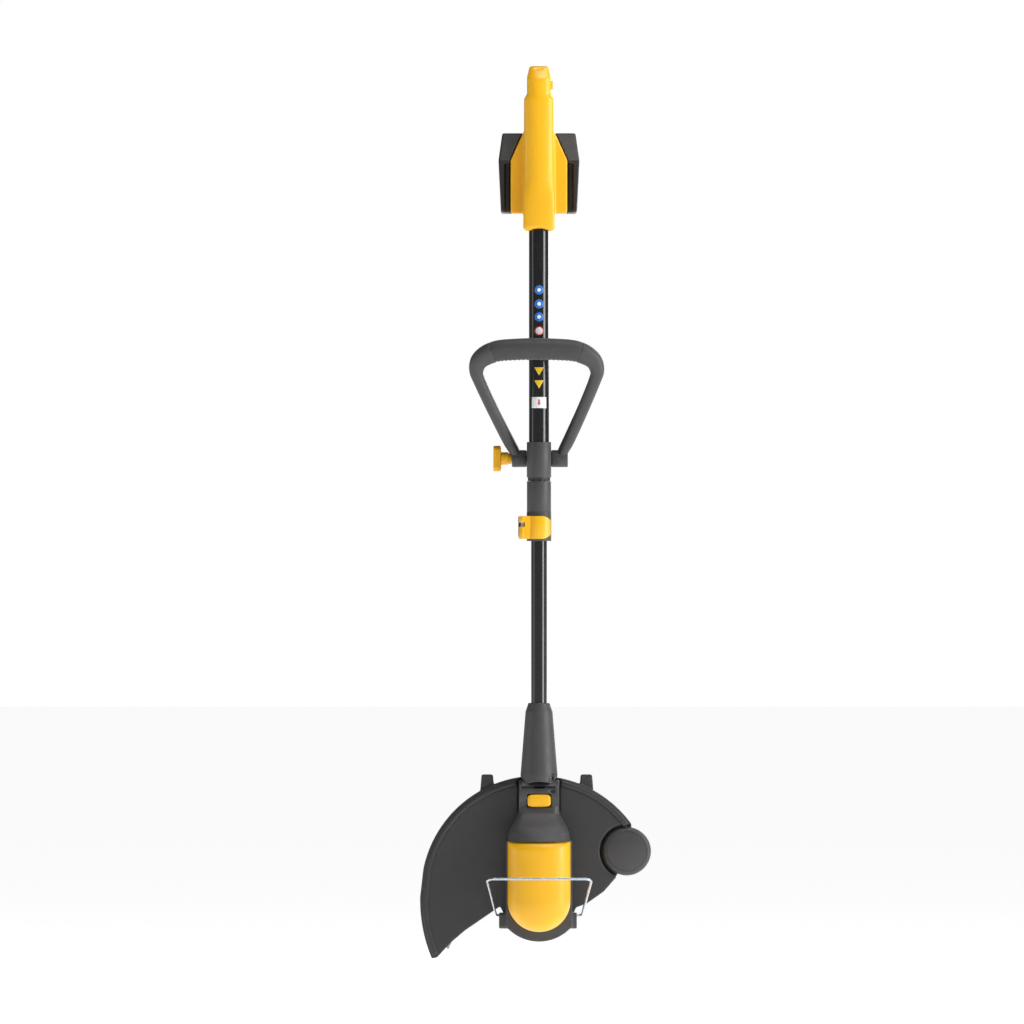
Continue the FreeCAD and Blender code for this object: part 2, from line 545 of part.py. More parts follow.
def bullet(half, top, arc_z, radius, y0, y1):
    """A slab from y0 to y1, seen from the front: straight sides from the top and a round arc below."""
    a = FreeCAD.Vector(-half, y0, top)
    b = FreeCAD.Vector(half, y0, top)
    c = FreeCAD.Vector(half, y0, arc_z)
    d = FreeCAD.Vector(-half, y0, arc_z)
    drop = radius - math.sqrt(radius * radius - half * half)
    low = FreeCAD.Vector(0, y0, arc_z - drop)
    edges = [Part.makeLine(a, b), Part.makeLine(b, c), Part.Arc(c, low, d).toShape(), Part.makeLine(d, a)]
    return Part.Face(Part.Wire(edges)).extrude(FreeCAD.Vector(0, y1 - y0, 0))


def motor_cap():
    outer = bullet(CAP_HALF_WIDTH, CAP_TOP, CAP_ARC_Z, CAP_HALF_WIDTH, CAP_FRONT, BASE_FRONT)
    front_edges = [edge for edge in outer.Edges if edge.BoundBox.YMax < CAP_FRONT + 0.1]
    outer = outer.makeFillet(13.0, front_edges)
    half = CAP_HALF_WIDTH - WALL
    inner = bullet(half, CAP_TOP - WALL, CAP_ARC_Z, half, CAP_FRONT + WALL, BASE_FRONT + 1)
    inner_edges = [edge for edge in inner.Edges if edge.BoundBox.YMax < CAP_FRONT + WALL + 0.1]
    inner = inner.makeFillet(10.6, inner_edges)
    bosses = [rod_y(SCREW_BOSS_R, -34, BASE_FRONT, x, z) for x, z in HEAD_SCREWS]
    cap = fuse(outer.cut(inner), *[boss.common(outer) for boss in bosses])
    save("motor_cap", cut(cap, *[rod_y(SCREW_R, -28, 0, x, z) for x, z in HEAD_SCREWS]))


def flare():
    wires = []
    stations = ((BARREL_HALF_WIDTH, -18.0, -1022.0), (28.8, -22.0, -1036.5), (33.0, -31.0, -1045.0),
                (38.8, -42.0, -1054.5), (42.4, -50.0, -1063.5), (CAP_HALF_WIDTH, -58.0, CAP_TOP))
    for half, front, z in stations:
        face = flat_face([(-half, front), (half, front), (half, BASE_BACK), (-half, BASE_BACK)], 9.0,
                         lambda x, y, height=z: FreeCAD.Vector(x, y, height))
        wires.append(face.OuterWire)
    return Part.makeLoft(wires, True, True)


def head_housing():
    barrel = rod_x(BARREL_R, -BARREL_HALF_WIDTH, BARREL_HALF_WIDTH, 0, TILT_Z)
    ear_outline = [(0, EAR_Z - 18.5), (0, EAR_Z + 4), (BASE_BACK, EAR_Z + 4), (BASE_BACK, EAR_Z - 18.5)]
    ears = [side_prism(ear_outline, x0, x1, 4) for x0, x1 in EARS]
    base = box(-BASE_HALF_WIDTH, BASE_HALF_WIDTH, BASE_FRONT, BASE_BACK, -FULL * 4, CAP_TOP)
    base = base.common(fuse(rod_y(BASE_ARC_R, BASE_FRONT, BASE_BACK, 0, SPOOL_Z),
                            box(-FULL, FULL, BASE_FRONT, BASE_BACK, SPOOL_Z, CAP_TOP)))
    outer = fuse(barrel, flare(), base, *ears)
    half = CAP_HALF_WIDTH - WALL
    hollow = bullet(half, CAP_TOP - 3, CAP_ARC_Z, half, BASE_FRONT - 1, BASE_BACK - 3)
    bosses = [rod_y(SCREW_BOSS_R, BASE_FRONT, BASE_BACK, x, z) for x, z in HEAD_SCREWS]
    hollow = hollow.cut(Part.makeCompound(bosses))
    reach = math.radians(TILT_RANGE)
    half_slot = TONGUE_HALF_DEPTH + 0.5
    side_y, side_z = -math.cos(reach) * half_slot, -math.sin(reach) * half_slot
    sweep = [(half_slot, TILT_Z - 4), (half_slot, TILT_Z + 26), (-16.0, TILT_Z + 27),
             (side_y - math.sin(reach) * 28, TILT_Z + side_z + math.cos(reach) * 28),
             (side_y, TILT_Z + side_z)]
    tongue_room = fuse(side_prism(sweep, -TONGUE_HALF_WIDTH - 0.5, TONGUE_HALF_WIDTH + 0.5),
                       rod_x(10.8, -TONGUE_HALF_WIDTH - 0.5, TONGUE_HALF_WIDTH + 0.5, 0, TILT_Z))
    button_room = box(-16.9, 16.9, -40, -11.2, -1027.5, -1009.0)
    spring_rooms = [rod_y(3.4, -15, BUTTON_SPRING_BACK, x, BUTTON_SPRING_Z) for x in BUTTON_SPRING_XS]
    wire_holes = rod_x(WIRE_R + 0.1, -FULL, FULL, EAR_Y, EAR_Z).cut(rod_x(5, -45, 45, EAR_Y, EAR_Z))
    tools = [hollow, tongue_room, button_room, *spring_rooms, rod_x(TILT_PIN_R, -26, 26, 0, TILT_Z),
             rod_y(9.0, 0, FULL, 0, SPOOL_Z), wire_holes,
             rod_x(SCREW_HOLE_R, CHEEK_SCREW_X, FULL, *CHEEK_SCREW),
             rod_x(SCREW_R, CHEEK_SCREW_TIP, FULL, *CHEEK_SCREW)]
    tools += [rod_y(SCREW_R, BASE_BACK - 4, FULL, x, z) for x, z in GUARD_SCREWS]
    for x, z in HEAD_SCREWS:
        tools.append(rod_y(SCREW_HOLE_R, BASE_BACK - SCREW_HEAD, FULL, x, z))
        tools.append(rod_y(SCREW_R, -FULL, FULL, x, z))
    body = cut(outer, *tools)
    save("head_housing_left", body.common(box(-FULL, 0, -FULL, FULL, -FULL * 4, 0)))
    save("head_housing_right", body.common(box(0, FULL, -FULL, FULL, -FULL * 4, 0)))
    screws = [screw_y(BASE_BACK, -26.0, x, z) for x, z in HEAD_SCREWS]
    guard_screw_head = BASE_BACK + GUARD_SHEET + SCREW_HEAD
    screws += [screw_y(guard_screw_head, BASE_BACK - 2.0, x, z) for x, z in GUARD_SCREWS]
    cutter_screw_head = CUTTER_Y + CUTTER_SHEET + SCREW_HEAD
    screws.append(screw_x(CHEEK_SCREW_X + SCREW_HEAD, CHEEK_SCREW_TIP, *CHEEK_SCREW))
    save("head_screws", *screws, screw_y(cutter_screw_head, 34.0, *CUTTER_SCREW))
    save("tilt_pin", rod_x(TILT_PIN_R, -26, 26, 0, TILT_Z))
    button = box(-16.5, 16.5, -30, -14.6, -1027.1, -1009.4)
    button = button.common(rod_x(SEAL_R - 0.5, -FULL, FULL, 0, TILT_Z))
    posts = [rod_y(1.6, -14.6, -7, x, BUTTON_SPRING_Z) for x in BUTTON_SPRING_XS]
    save("tilt_button", fuse(button, *posts))
    save("tilt_springs", *[ring_y(3.1, 2.0, -11.2, BUTTON_SPRING_BACK, x, BUTTON_SPRING_Z)
                           for x in BUTTON_SPRING_XS])


def motor():
    can = ring_y(MOTOR_R, MOTOR_R - 2.5, -54, -6, 0, SPOOL_Z)
    ends = [ring_y(MOTOR_R, BEARING_R, y, y + 3, 0, SPOOL_Z) for y in (-57.0, -6.0)]
    save("motor_can", fuse(can, *ends))
    save("motor_bearings", *[ring_y(BEARING_R, SHAFT_R + 0.05, y, y + 5, 0, SPOOL_Z) for y in (-57.0, -8.0)])
    save("motor_rotor", rod_y(SHAFT_R, -57.5, 42, 0, SPOOL_Z), ring_y(20.0, SHAFT_R, -49, -12, 0, SPOOL_Z))
    blades = []
    for step in range(9):
        blade = box(6, 22, 0.5, 8, SPOOL_Z - 0.8, SPOOL_Z + 0.8)
        blade.rotate(FreeCAD.Vector(0, 0, SPOOL_Z), FreeCAD.Vector(0, 1, 0), 40 * step)
        blades.append(blade)
    disc = ring_y(22.0, SHAFT_R, -1, 0.5, 0, SPOOL_Z)
    hub = ring_y(8, SHAFT_R, 0.5, 8, 0, SPOOL_Z)
    save("cooling_fan", fuse(disc, hub, *blades))


def guard_face(inset, y, corners, tip_turn):
    """The guard's curved rim, moved in by the inset, closed by straight edges through the corners."""
    def place(point):
        return FreeCAD.Vector(point[0], y, point[1])
    top_r = GUARD_R - inset
    left_r = GUARD_LEFT_R - inset
    tip = arc_point(GUARD_LEFT_CENTRE, left_r, tip_turn)
    left_middle = arc_point(GUARD_LEFT_CENTRE, left_r, (tip_turn + 180) / 2)
    shoulder = arc_point(GUARD_LEFT_CENTRE, left_r, 179.0)
    join = arc_point(GUARD_CENTRE, top_r, 168.0)
    crown = arc_point(GUARD_CENTRE, top_r, 100.0)
    right = arc_point(GUARD_CENTRE, top_r, 36.0)
    edges = [Part.Arc(place(tip), place(left_middle), place(shoulder)).toShape(),
             Part.makeLine(place(shoulder), place(join)),
             Part.Arc(place(join), place(crown), place(right)).toShape()]
    ring = [right, *corners, tip]
    for start, end in zip(ring, ring[1:]):
        edges.append(Part.makeLine(place(start), place(end)))
    return Part.Face(Part.Wire(edges))


def guard():
    depth = GUARD_BACK - BASE_BACK
    fall_x = GUARD_LEFT_CENTRE[0] - GUARD_TIP[0]
    fall_z = GUARD_LEFT_CENTRE[1] - GUARD_TIP[1]
    tip_turn = 180 + math.degrees(math.atan2(fall_z, fall_x))
    edge = [(121.0, -1120.0), (109.2, -1125.4), (91.0, -1146.4), (67.2, -1163.2), (52.0, -1169.0),
            (40.0, -1197.0), (-40.0, -1197.0), (-54.6, -1167.4), (-103.6, -1201.0), (-123.2, -1217.8),
            (-143.0, -1239.0)]
    beyond = [(150.0, -1125.0), (110.0, -1140.0), (70.0, -1185.0), (52.0, -1210.0), (-52.0, -1210.0),
              (-60.0, -1182.0), (-104.0, -1212.0), (-135.0, -1245.0)]
    block = guard_face(0.0, BASE_BACK, edge, tip_turn).extrude(FreeCAD.Vector(0, depth, 0))
    room = guard_face(GUARD_SHEET, BASE_BACK + GUARD_SHEET, beyond, tip_turn + 4)
    shell = block.cut(room.extrude(FreeCAD.Vector(0, depth, 0)))
    wheel_x, wheel_z = WHEEL
    pocket_outer = POCKET_R + GUARD_SHEET
    pocket_wall = ring_y(pocket_outer, POCKET_R, BASE_BACK, POCKET_BACK, wheel_x, wheel_z)
    pocket_floor = rod_y(pocket_outer, POCKET_BACK - GUARD_SHEET, POCKET_BACK, wheel_x, wheel_z)
    kept_side = [(0.0, -1000.0), (126.0, -1040.0), (123.0, -1058.0), (110.0, -1124.0), (0.0, -1180.0)]
    inside = front_prism(kept_side, 0.0, FULL)
    axle_lug = rod_y(12.0, POCKET_BACK - GUARD_SHEET, POCKET_BACK, wheel_x, wheel_z)
    tabs = []
    for x in (-72.5, 66.5):
        outline = [(x - 8, -982.5), (x + 8, -982.5), (x + 10.5, -1012), (x - 10.5, -1012)]
        tabs.append(front_prism(outline, 20, 34, 2.5))
    boss = rod_y(7.0, BASE_BACK + 1, CUTTER_Y, *CUTTER_SCREW)
    joint_walls = box(-32, 32, BASE_BACK, 30.5, -1038, -900).common(block)
    joint_room = box(-29, 29, 0, 27.5, -1035, -900)
    shell = cut(fuse(shell, joint_walls), rod_y(POCKET_R, -FULL, FULL, wheel_x, wheel_z), joint_room)
    body = fuse(shell, pocket_wall.common(inside), pocket_floor.common(inside), axle_lug, *tabs, boss)
    holes = [rod_y(12.0, -FULL, FULL, 0, SPOOL_Z), rod_y(SCREW_R, 30, FULL, *CUTTER_SCREW)]
    holes += [rod_y(SCREW_R, -FULL, FULL, x, z) for x, z in GUARD_SCREWS]
    holes += [rod_y(4.0, BASE_BACK - 1, BASE_BACK + GUARD_SHEET + 1, x, z) for x, z in HEAD_SCREWS]
    holes.append(rod_y(2.0, -FULL, FULL, wheel_x, wheel_z))
    save("guard", cut(body, *holes))


def guard_fittings():
    outline = [(-143.0, -1211.0), (-127.0, -1229.0), (-119.0, -1209.0), (-129.0, -1200.0)]
    blade = front_prism(outline, CUTTER_Y, CUTTER_Y + CUTTER_SHEET, 1.0)
    save("line_cutter", cut(blade, rod_y(SCREW_R, 30, FULL, *CUTTER_SCREW)))
    wheel_x, wheel_z = WHEEL
    disc = rod_y(WHEEL_R, 12, 26, wheel_x, wheel_z)
    rim = [edge for edge in disc.Edges if edge.BoundBox.YLength < 0.1]
    disc = disc.makeFillet(6.5, rim)
    dome_r = 130.0
    dome = Part.makeSphere(dome_r, FreeCAD.Vector(wheel_x, 8.0 + dome_r, wheel_z))
    dome = dome.common(rod_y(WHEEL_R - 7, 0, 14, wheel_x, wheel_z))
    save("edge_wheel", cut(fuse(disc, dome), rod_y(3.1, 14, FULL, wheel_x, wheel_z)))
    axle = fuse(rod_y(3.0, 14.4, POCKET_BACK - GUARD_SHEET, wheel_x, wheel_z),
                rod_y(2.0, 20, 38, wheel_x, wheel_z), rod_y(4.5, POCKET_BACK, 38, wheel_x, wheel_z))
    save("wheel_axle", axle)


def wire_guard():
    """A bow of round wire: two pins in the ears, two legs that spread, and a straight crossbar."""
    pin, corner = 60.0, 73.5
    reach_y, reach_z = -109.0, 54.2
    bend = 9.0
    start = [(-47.0, 0.0), (-pin, 0.0), (-corner, 1.0), (corner, 1.0), (pin, 0.0), (47.0, 0.0)]

    def place(x, along):
        return FreeCAD.Vector(x, EAR_Y + along * reach_y, EAR_Z + along * reach_z)

    points = [place(x, along) for x, along in start]
    edges = []
    previous = points[0]
    for index in range(1, len(points) - 1):
        corner_point = points[index]
        back = points[index - 1] - corner_point
        ahead = points[index + 1] - corner_point
        back.normalize()
        ahead.normalize()
        half = back.getAngle(ahead) / 2
        radius = bend if index in (2, 3) else 4.5
        reach = radius / math.tan(half)
        middle = back + ahead
        middle.normalize()
        into = corner_point + back * reach
        out = corner_point + ahead * reach
        nearest = corner_point + middle * (reach / math.cos(half) - reach * math.tan(half))
        edges.append(Part.makeLine(previous, into))
        edges.append(Part.Arc(into, nearest, out).toShape())
        previous = out
    edges.append(Part.makeLine(previous, points[-1]))
    path = Part.Wire(edges)
    section = Part.Wire([Part.makeCircle(WIRE_R, points[0], FreeCAD.Vector(1, 0, 0))])
    save("wire_guard", path.makePipeShell([section], True, True))


def spool():
    cup = ring_y(SPOOL_R, SHAFT_R, SPOOL_FRONT, SPOOL_BACK, 0, SPOOL_Z)
    cup = cup.cut(ring_y(SPOOL_R - 3, SHAFT_R, SPOOL_FRONT + 2.5, FULL, 0, SPOOL_Z))
    flute_places = [arc_point((0, SPOOL_Z), SPOOL_R + 1.2, 30 * step + 15) for step in range(12)]
    flutes = [rod_y(3.0, SPOOL_FRONT - 1, SPOOL_BACK + 1, *place) for place in flute_places]
    eyelet_holes = rod_x(EYELET_R, -FULL, FULL, EYELET_Y, SPOOL_Z).cut(rod_x(5, -30, 30, EYELET_Y, SPOOL_Z))
    cup = cut(cup.cut(rod_y(SHAFT_R, 0, FULL, 0, SPOOL_Z)), eyelet_holes, *flutes)
    save("spool_housing", cup)
    line_hole = rod_x(1.6, -FULL, FULL, EYELET_Y, SPOOL_Z)
    save("line_eyelets", *[rod_x(EYELET_R, x, x + 4.5, EYELET_Y, SPOOL_Z).cut(line_hole)
                           for x in (-SPOOL_R - 1.0, SPOOL_R - 3.5)])
    cover = ring_y(SPOOL_R - 1.5, KNOB_R + 0.6, SPOOL_BACK, SPOOL_BACK + 6, 0, SPOOL_Z)
    back_edges = [edge for edge in cover.Edges if edge.BoundBox.YMin > SPOOL_BACK + 5.9]
    rim = [edge for edge in back_edges if edge.BoundBox.XLength > 60]
    save("spool_cover", cover.makeFillet(3.0, rim))
    save("spool_spring", ring_y(14.0, 12.0, SPOOL_FRONT + 2.5, SPOOL_FRONT + 5.5, 0, SPOOL_Z))
    save("feed_cam", ring_y(11.0, SHAFT_R + 0.3, 28.0, 30.7, 0, SPOOL_Z))
    flanges = [rod_y(32.0, 31.0, 33.0, 0, SPOOL_Z), rod_y(32.0, 47.0, 49.0, 0, SPOOL_Z)]
    reel = fuse(rod_y(12.0, 31, 49, 0, SPOOL_Z), *flanges)
    bore = rod_y(SHAFT_R + 0.4, 0, 48, 0, SPOOL_Z)
    save("spool_reel", cut(reel, bore))
    save("spool_line", ring_y(27.0, 12.0, 33.0, 47.0, 0, SPOOL_Z))
    knob = rod_y(KNOB_R, 49, 68, 0, SPOOL_Z)
    rounded = [edge for edge in knob.Edges if edge.BoundBox.YMin > 67.9]
    save("bump_knob", knob.makeFillet(7.0, rounded))


os.makedirs("parts", exist_ok=True)
handle_shells()
handle_fittings()
trigger()
battery()
shaft()
handle_clamp()
loop_handle()
loop_fastening()
lock()
neck()
motor_cap()
head_housing()
motor()
guard()
guard_fittings()
wire_guard()
spool()
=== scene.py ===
import json
import math
import bmesh
import bpy
from mathutils import Matrix, Vector


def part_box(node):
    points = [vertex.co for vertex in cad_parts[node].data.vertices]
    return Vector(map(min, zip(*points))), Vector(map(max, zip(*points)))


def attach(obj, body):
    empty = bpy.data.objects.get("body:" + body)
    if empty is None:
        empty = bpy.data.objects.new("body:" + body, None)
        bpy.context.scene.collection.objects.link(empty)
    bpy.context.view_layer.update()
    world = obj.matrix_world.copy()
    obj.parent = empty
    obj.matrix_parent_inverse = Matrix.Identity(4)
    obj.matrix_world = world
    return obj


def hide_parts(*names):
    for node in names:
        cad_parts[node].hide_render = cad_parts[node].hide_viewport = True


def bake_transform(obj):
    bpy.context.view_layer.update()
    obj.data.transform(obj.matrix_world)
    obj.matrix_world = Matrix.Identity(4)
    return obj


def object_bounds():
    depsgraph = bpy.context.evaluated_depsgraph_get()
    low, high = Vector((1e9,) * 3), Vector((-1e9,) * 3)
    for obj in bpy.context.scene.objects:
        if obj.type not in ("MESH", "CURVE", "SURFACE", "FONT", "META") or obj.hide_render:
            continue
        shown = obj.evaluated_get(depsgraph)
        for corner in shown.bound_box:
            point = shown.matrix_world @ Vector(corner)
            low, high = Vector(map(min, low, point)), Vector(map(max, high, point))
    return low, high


# String trimmer, metres, in the CAD model's frame: +Z up the shaft, +X right, +Y to the back.

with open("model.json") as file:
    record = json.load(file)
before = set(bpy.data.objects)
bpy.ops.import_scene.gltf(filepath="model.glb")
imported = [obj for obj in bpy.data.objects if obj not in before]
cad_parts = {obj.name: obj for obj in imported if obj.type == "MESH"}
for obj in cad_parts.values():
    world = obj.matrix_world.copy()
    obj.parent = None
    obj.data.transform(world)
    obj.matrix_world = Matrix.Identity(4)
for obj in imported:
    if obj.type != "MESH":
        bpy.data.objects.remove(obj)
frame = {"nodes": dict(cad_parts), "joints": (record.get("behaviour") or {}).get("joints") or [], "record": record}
cad_low, cad_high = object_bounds()
JOINTS = {joint["name"]: joint for joint in frame["joints"]}
BODY_OF = {node: body for body, nodes in frame["record"]["behaviour"]["bodies"].items() for node in nodes}
SLOT_OF = {entry["node"]: entry["material_slot"] for entry in frame["record"]["subparts"]}

MM = 0.001
TUBE_R = 14.0 * MM

# Front faces: (height, half width) and (height, share of the front pulled back at the sides)
HANDLE_WIDTHS = ((0.010, 0.0128), (-0.006, 0.0168), (-0.031, 0.0168), (-0.036, 0.0210), (-0.122, 0.0210),
                 (-0.206, 0.0222))
HANDLE_BOWS = ((-0.150, 0.5), (-0.172, 0.25))
HANDLE_SIDE_Y = -0.002
SCALLOP_TOP = -0.214
SCALLOP_HEIGHT = 0.007
SCALLOP = 0.0034
HEAD_BOW = 0.45
HEAD_SIDE_Y = -0.008
CAP_HALF = 0.044
CAP_ARC_Z = -1.1576
FLARE_WIDTHS = ((-1.022, 0.0283), (-1.0365, 0.0288), (-1.045, 0.0330), (-1.0545, 0.0388), (-1.0635, 0.0424),
                (-1.075, 0.0440))
FLARE_BOWS = ((-1.030, 0.0), (-1.066, HEAD_BOW))

# Screw wells, the neck's skirt over the barrel and the guard's skirt behind the wheel
WELL_R = 0.0033
WELL_DEPTH = 0.0026
WELL_SQUASH = 1.15
WELL_FRONT_Y = -0.006
NECK_WELL = (0.0168, -0.9885)
BARREL_WELL = (0.0185, -1.0052)
NECK_HALF = 0.027
NECK_SKIRT = 0.003
NECK_SKIRT_Z = -0.985
NECK_SKIRT_RAMP = 0.008
SKIRT_FRONT = 0.0345
SKIRT_X = 0.108
SKIRT_Z = -1.066
SKIRT_DROP = 0.0075
SKIRT_RAMP = 0.010

# Tilt button: (scale, y) from its back to its crown
BUTTON_HALF = (0.0164, 0.0087)
BUTTON_LAYERS = ((0.93, -0.0162), (0.99, -0.0175), (1.0, -0.0205), (0.985, -0.0216), (0.95, -0.0226),
                 (0.88, -0.0233), (0.7, -0.0237), (0.3, -0.02385))
BUTTON_CORNER = 4.5

COIL_PITCH = 0.007
COIL_STRAND = 0.0016
COIL_STEPS = 18
COIL_SIDES = 8

# Half of the loop's bow, from the boss up: across, up, half width across the bar, half depth
LOOP_KNOTS_MM = ((31.5, 2.0, 7.0, 9.0), (34.5, 12.0, 7.6, 9.0), (43.5, 30.0, 8.4, 9.0), (64.0, 76.0, 8.4, 9.0),
                 (81.0, 118.0, 8.8, 9.2), (84.4, 133.0, 10.4, 9.6), (80.0, 147.0, 12.6, 10.5),
                 (68.0, 156.6, 14.4, 11.4), (52.0, 162.0, 15.0, 12.0), (28.0, 164.0, 15.2, 12.3),
                 (0.0, 164.8, 15.4, 12.4))
LOOP_STEPS = 24
LOOP_TOP_MM = 165.0
LOOP_LEAN = math.radians(22.0)
LOOP_X = -4.0 * MM
LOOP_SECTION = (32, 2.5)
GRIP_END_MM = 61.0
GRIP_LOWEST_MM = 150.0
GRIP_INSET_MM = 1.6
BOW_INSET_MM = 0.25
GRIP_TAPER_MM = 6.0
SERRATION_MM = 6.2
SERRATION_DEPTH_MM = 1.2
UNDERSIDE = -0.3

# Closed profiles of (x, radius) in millimetres about the loop's pivot
BOSS_LEFT = ((-38.0, 5.0), (-38.0, 10.6), (-37.5, 11.6), (-36.6, 12.0), (-18.6, 12.0), (-17.7, 11.6),
             (-17.2, 10.6), (-17.2, 5.0))
BOSS_RIGHT = ((17.2, 5.0), (17.2, 10.6), (17.7, 11.6), (18.6, 12.0), (39.3, 12.0), (40.2, 11.6), (40.5, 11.0),
              (40.5, 9.3), (33.0, 9.3), (33.0, 5.0))
KNOB_COLLAR = ((-44.0, 3.4), (-44.0, 6.9), (-43.4, 7.5), (-39.2, 7.5), (-38.5, 6.9), (-38.5, 3.4))

# Stickers
FILM = 0.00025
TOP_FILM = 0.0004
FILM_SUNK = 0.0001
PATCH_RINGS = 8
DISC_R = 6.4 * MM
DISC_HEIGHTS = (-0.3036, -0.3232, -0.3414)
DOT_SHARE = 0.4
RING_HEIGHT = -0.3610
RING_SHARE = 0.76
TRIANGLE = ((-0.0068, 0.0052), (0.0068, 0.0052), (0.0, -0.0062))
TRIANGLE_HEIGHTS = (-0.4170, -0.4352)
LABEL = ((-0.0112, -0.0078), (0.0112, -0.0078), (0.0112, 0.0078), (-0.0112, 0.0078))
LABEL_HEIGHT = -0.4611
ARROW = ((-0.0010, 0.0042), (0.0010, 0.0042), (0.0010, -0.0006), (0.0022, -0.0006), (0.0, -0.0044),
         (-0.0022, -0.0006), (-0.0010, -0.0006))

# Guard rim: arcs of (centre, radius, first and last angle, points)
RIM_INSET = 7.0 * MM
GUARD_CENTRE = (-0.0022, -1.1481)
GUARD_R = 0.1634
RIM_TIP_ARC = ((0.0497, -1.1579), 0.2164, 201.5, 181.0, 24)
RIM_LEFT_ARC = (GUARD_CENTRE, GUARD_R, 166.0, 100.6, 60)
RIM_RIGHT_ARC = (GUARD_CENTRE, GUARD_R, 78.0, 37.5, 40)
RIM_SECTION = (16, 2.2)
RIM_HALF_WIDTH_MM = 4.6
RIM_RISE_MM = 2.8
RIM_SINK_MM = 0.6

# Camera and studio
CAMERA_X = -0.0378
CAMERA_Z = -0.6144
CAMERA_DISTANCE = 16.93
LENS_MM = 425.0
SENSOR_MM = 36.0
VIEW_END = 200.0
ROOM_LIGHT = 0.13
FLOOR_GREY = 0.86
FLOOR_GLOW = 0.84
FLOOR_DROP = 0.13
FLOOR_HALF = 30.0
SOFTBOXES = (("softbox_right", (2.8, -1.3, -0.2), (1.2, 3.2), 92), ("softbox_left", (-2.8, -0.5, -0.4), (0.8, 2.6), 10),
             ("softbox_top", (0.6, -0.8, 2.0), (1.6, 1.2), 40), ("back_fill", (1.6, 3.2, 0.6), (2.0, 2.0), 50))

MATERIALS = {}


# Materials

def start_material(name, colour, roughness, metallic=0.0):
    """A material with its shader, an object-space coordinate and a helper to make nodes."""
    material = bpy.data.materials.new(name)
    material.use_nodes = True
    tree = material.node_tree
    shader = tree.nodes["Principled BSDF"]
    shader.inputs["Base Color"].default_value = (*colour, 1.0)
    shader.inputs["Roughness"].default_value = roughness
    shader.inputs["Metallic"].default_value = metallic
    place = tree.nodes.new("ShaderNodeTexCoord").outputs["Object"]
    return material, tree, shader, place


def noise(tree, place, scale, detail=4.0, stretch=None):
    """Noise over object space, stretched along an axis where stretch gives three scales."""
    if stretch:
        mapping = tree.nodes.new("ShaderNodeMapping")
        mapping.inputs["Scale"].default_value = stretch
        tree.links.new(place, mapping.inputs["Vector"])
        place = mapping.outputs["Vector"]
    texture = tree.nodes.new("ShaderNodeTexNoise")
    texture.inputs["Scale"].default_value = scale
    texture.inputs["Detail"].default_value = detail
    tree.links.new(place, texture.inputs["Vector"])
    return texture.outputs["Fac"]


def ranged(tree, value, from_low, from_high, to_low, to_high):
    """A value carried from one range over to another."""
    node = tree.nodes.new("ShaderNodeMapRange")
    for name, setting in (("From Min", from_low), ("From Max", from_high), ("To Min", to_low), ("To Max", to_high)):
        node.inputs[name].default_value = setting
    tree.links.new(value, node.inputs["Value"])
    return node.outputs["Result"]


def spread(tree, value, low, high):
    """Noise around one half, spread out to run from low to high."""
    return ranged(tree, value, 0.3, 0.7, low, high)


def two_tone(tree, value, first, second):
    """A colour mixed from two by a value."""
    mix = tree.nodes.new("ShaderNodeMix")
    mix.data_type = "RGBA"
    mix.inputs["A"].default_value = (*first, 1.0)
    mix.inputs["B"].default_value = (*second, 1.0)
    tree.links.new(value, mix.inputs["Factor"])
    return mix.outputs["Result"]


def relief(tree, shader, height, distance, strength):
    """Surface relief from a height value."""
    bump = tree.nodes.new("ShaderNodeBump")
    bump.inputs["Distance"].default_value = distance
    bump.inputs["Strength"].default_value = strength
    tree.links.new(height, bump.inputs["Height"])
    tree.links.new(bump.outputs["Normal"], shader.inputs["Normal"])


def shade(colour, factor):
    """A colour made lighter or darker."""
    return tuple(min(channel * factor, 1.0) for channel in colour)


def moulded(name, colour, roughness, grain=900.0, depth=0.35, coat=0.0):
    """Injection-moulded plastic: spark-eroded grain, slow colour drift and scuffed gloss."""
    material, tree, shader, place = start_material(name, colour, roughness)
    drift = noise(tree, place, 14.0, 5.0)
    tree.links.new(two_tone(tree, drift, shade(colour, 0.9), shade(colour, 1.08)), shader.inputs["Base Color"])
    scuffs = noise(tree, place, 60.0, 8.0)
    tree.links.new(spread(tree, scuffs, roughness - 0.06, roughness + 0.08), shader.inputs["Roughness"])
    relief(tree, shader, noise(tree, place, grain, 3.0), 0.00012, depth)
    shader.inputs["Specular IOR Level"].default_value = 0.5
    shader.inputs["Coat Weight"].default_value = coat
    shader.inputs["Coat Roughness"].default_value = 0.25
    return material


def painted_tube():
    """Gloss black stove enamel with a faint orange peel and fine slide marks along the tube."""
    colour = (0.006, 0.006, 0.007)
    material, tree, shader, place = start_material("gloss_black_paint", colour, 0.16)
    marks = noise(tree, place, 60.0, 6.0, (6.0, 6.0, 0.5))
    tree.links.new(spread(tree, marks, 0.14, 0.22), shader.inputs["Roughness"])
    tree.links.new(two_tone(tree, marks, colour, shade(colour, 1.4)), shader.inputs["Base Color"])
    relief(tree, shader, noise(tree, place, 160.0, 2.0), 0.00002, 0.15)
    shader.inputs["Coat Weight"].default_value = 0.3
    shader.inputs["Coat Roughness"].default_value = 0.1
    return material


def metal(name, colour, roughness, stretch, depth=0.2):
    """Bare or plated metal with drawing or turning marks."""
    material, tree, shader, place = start_material(name, colour, roughness, 1.0)
    marks = noise(tree, place, 90.0, 6.0, stretch)
    tree.links.new(spread(tree, marks, roughness * 0.7, roughness * 1.4), shader.inputs["Roughness"])
    tree.links.new(two_tone(tree, marks, shade(colour, 0.88), shade(colour, 1.05)), shader.inputs["Base Color"])
    relief(tree, shader, marks, 0.00004, depth)
    return material


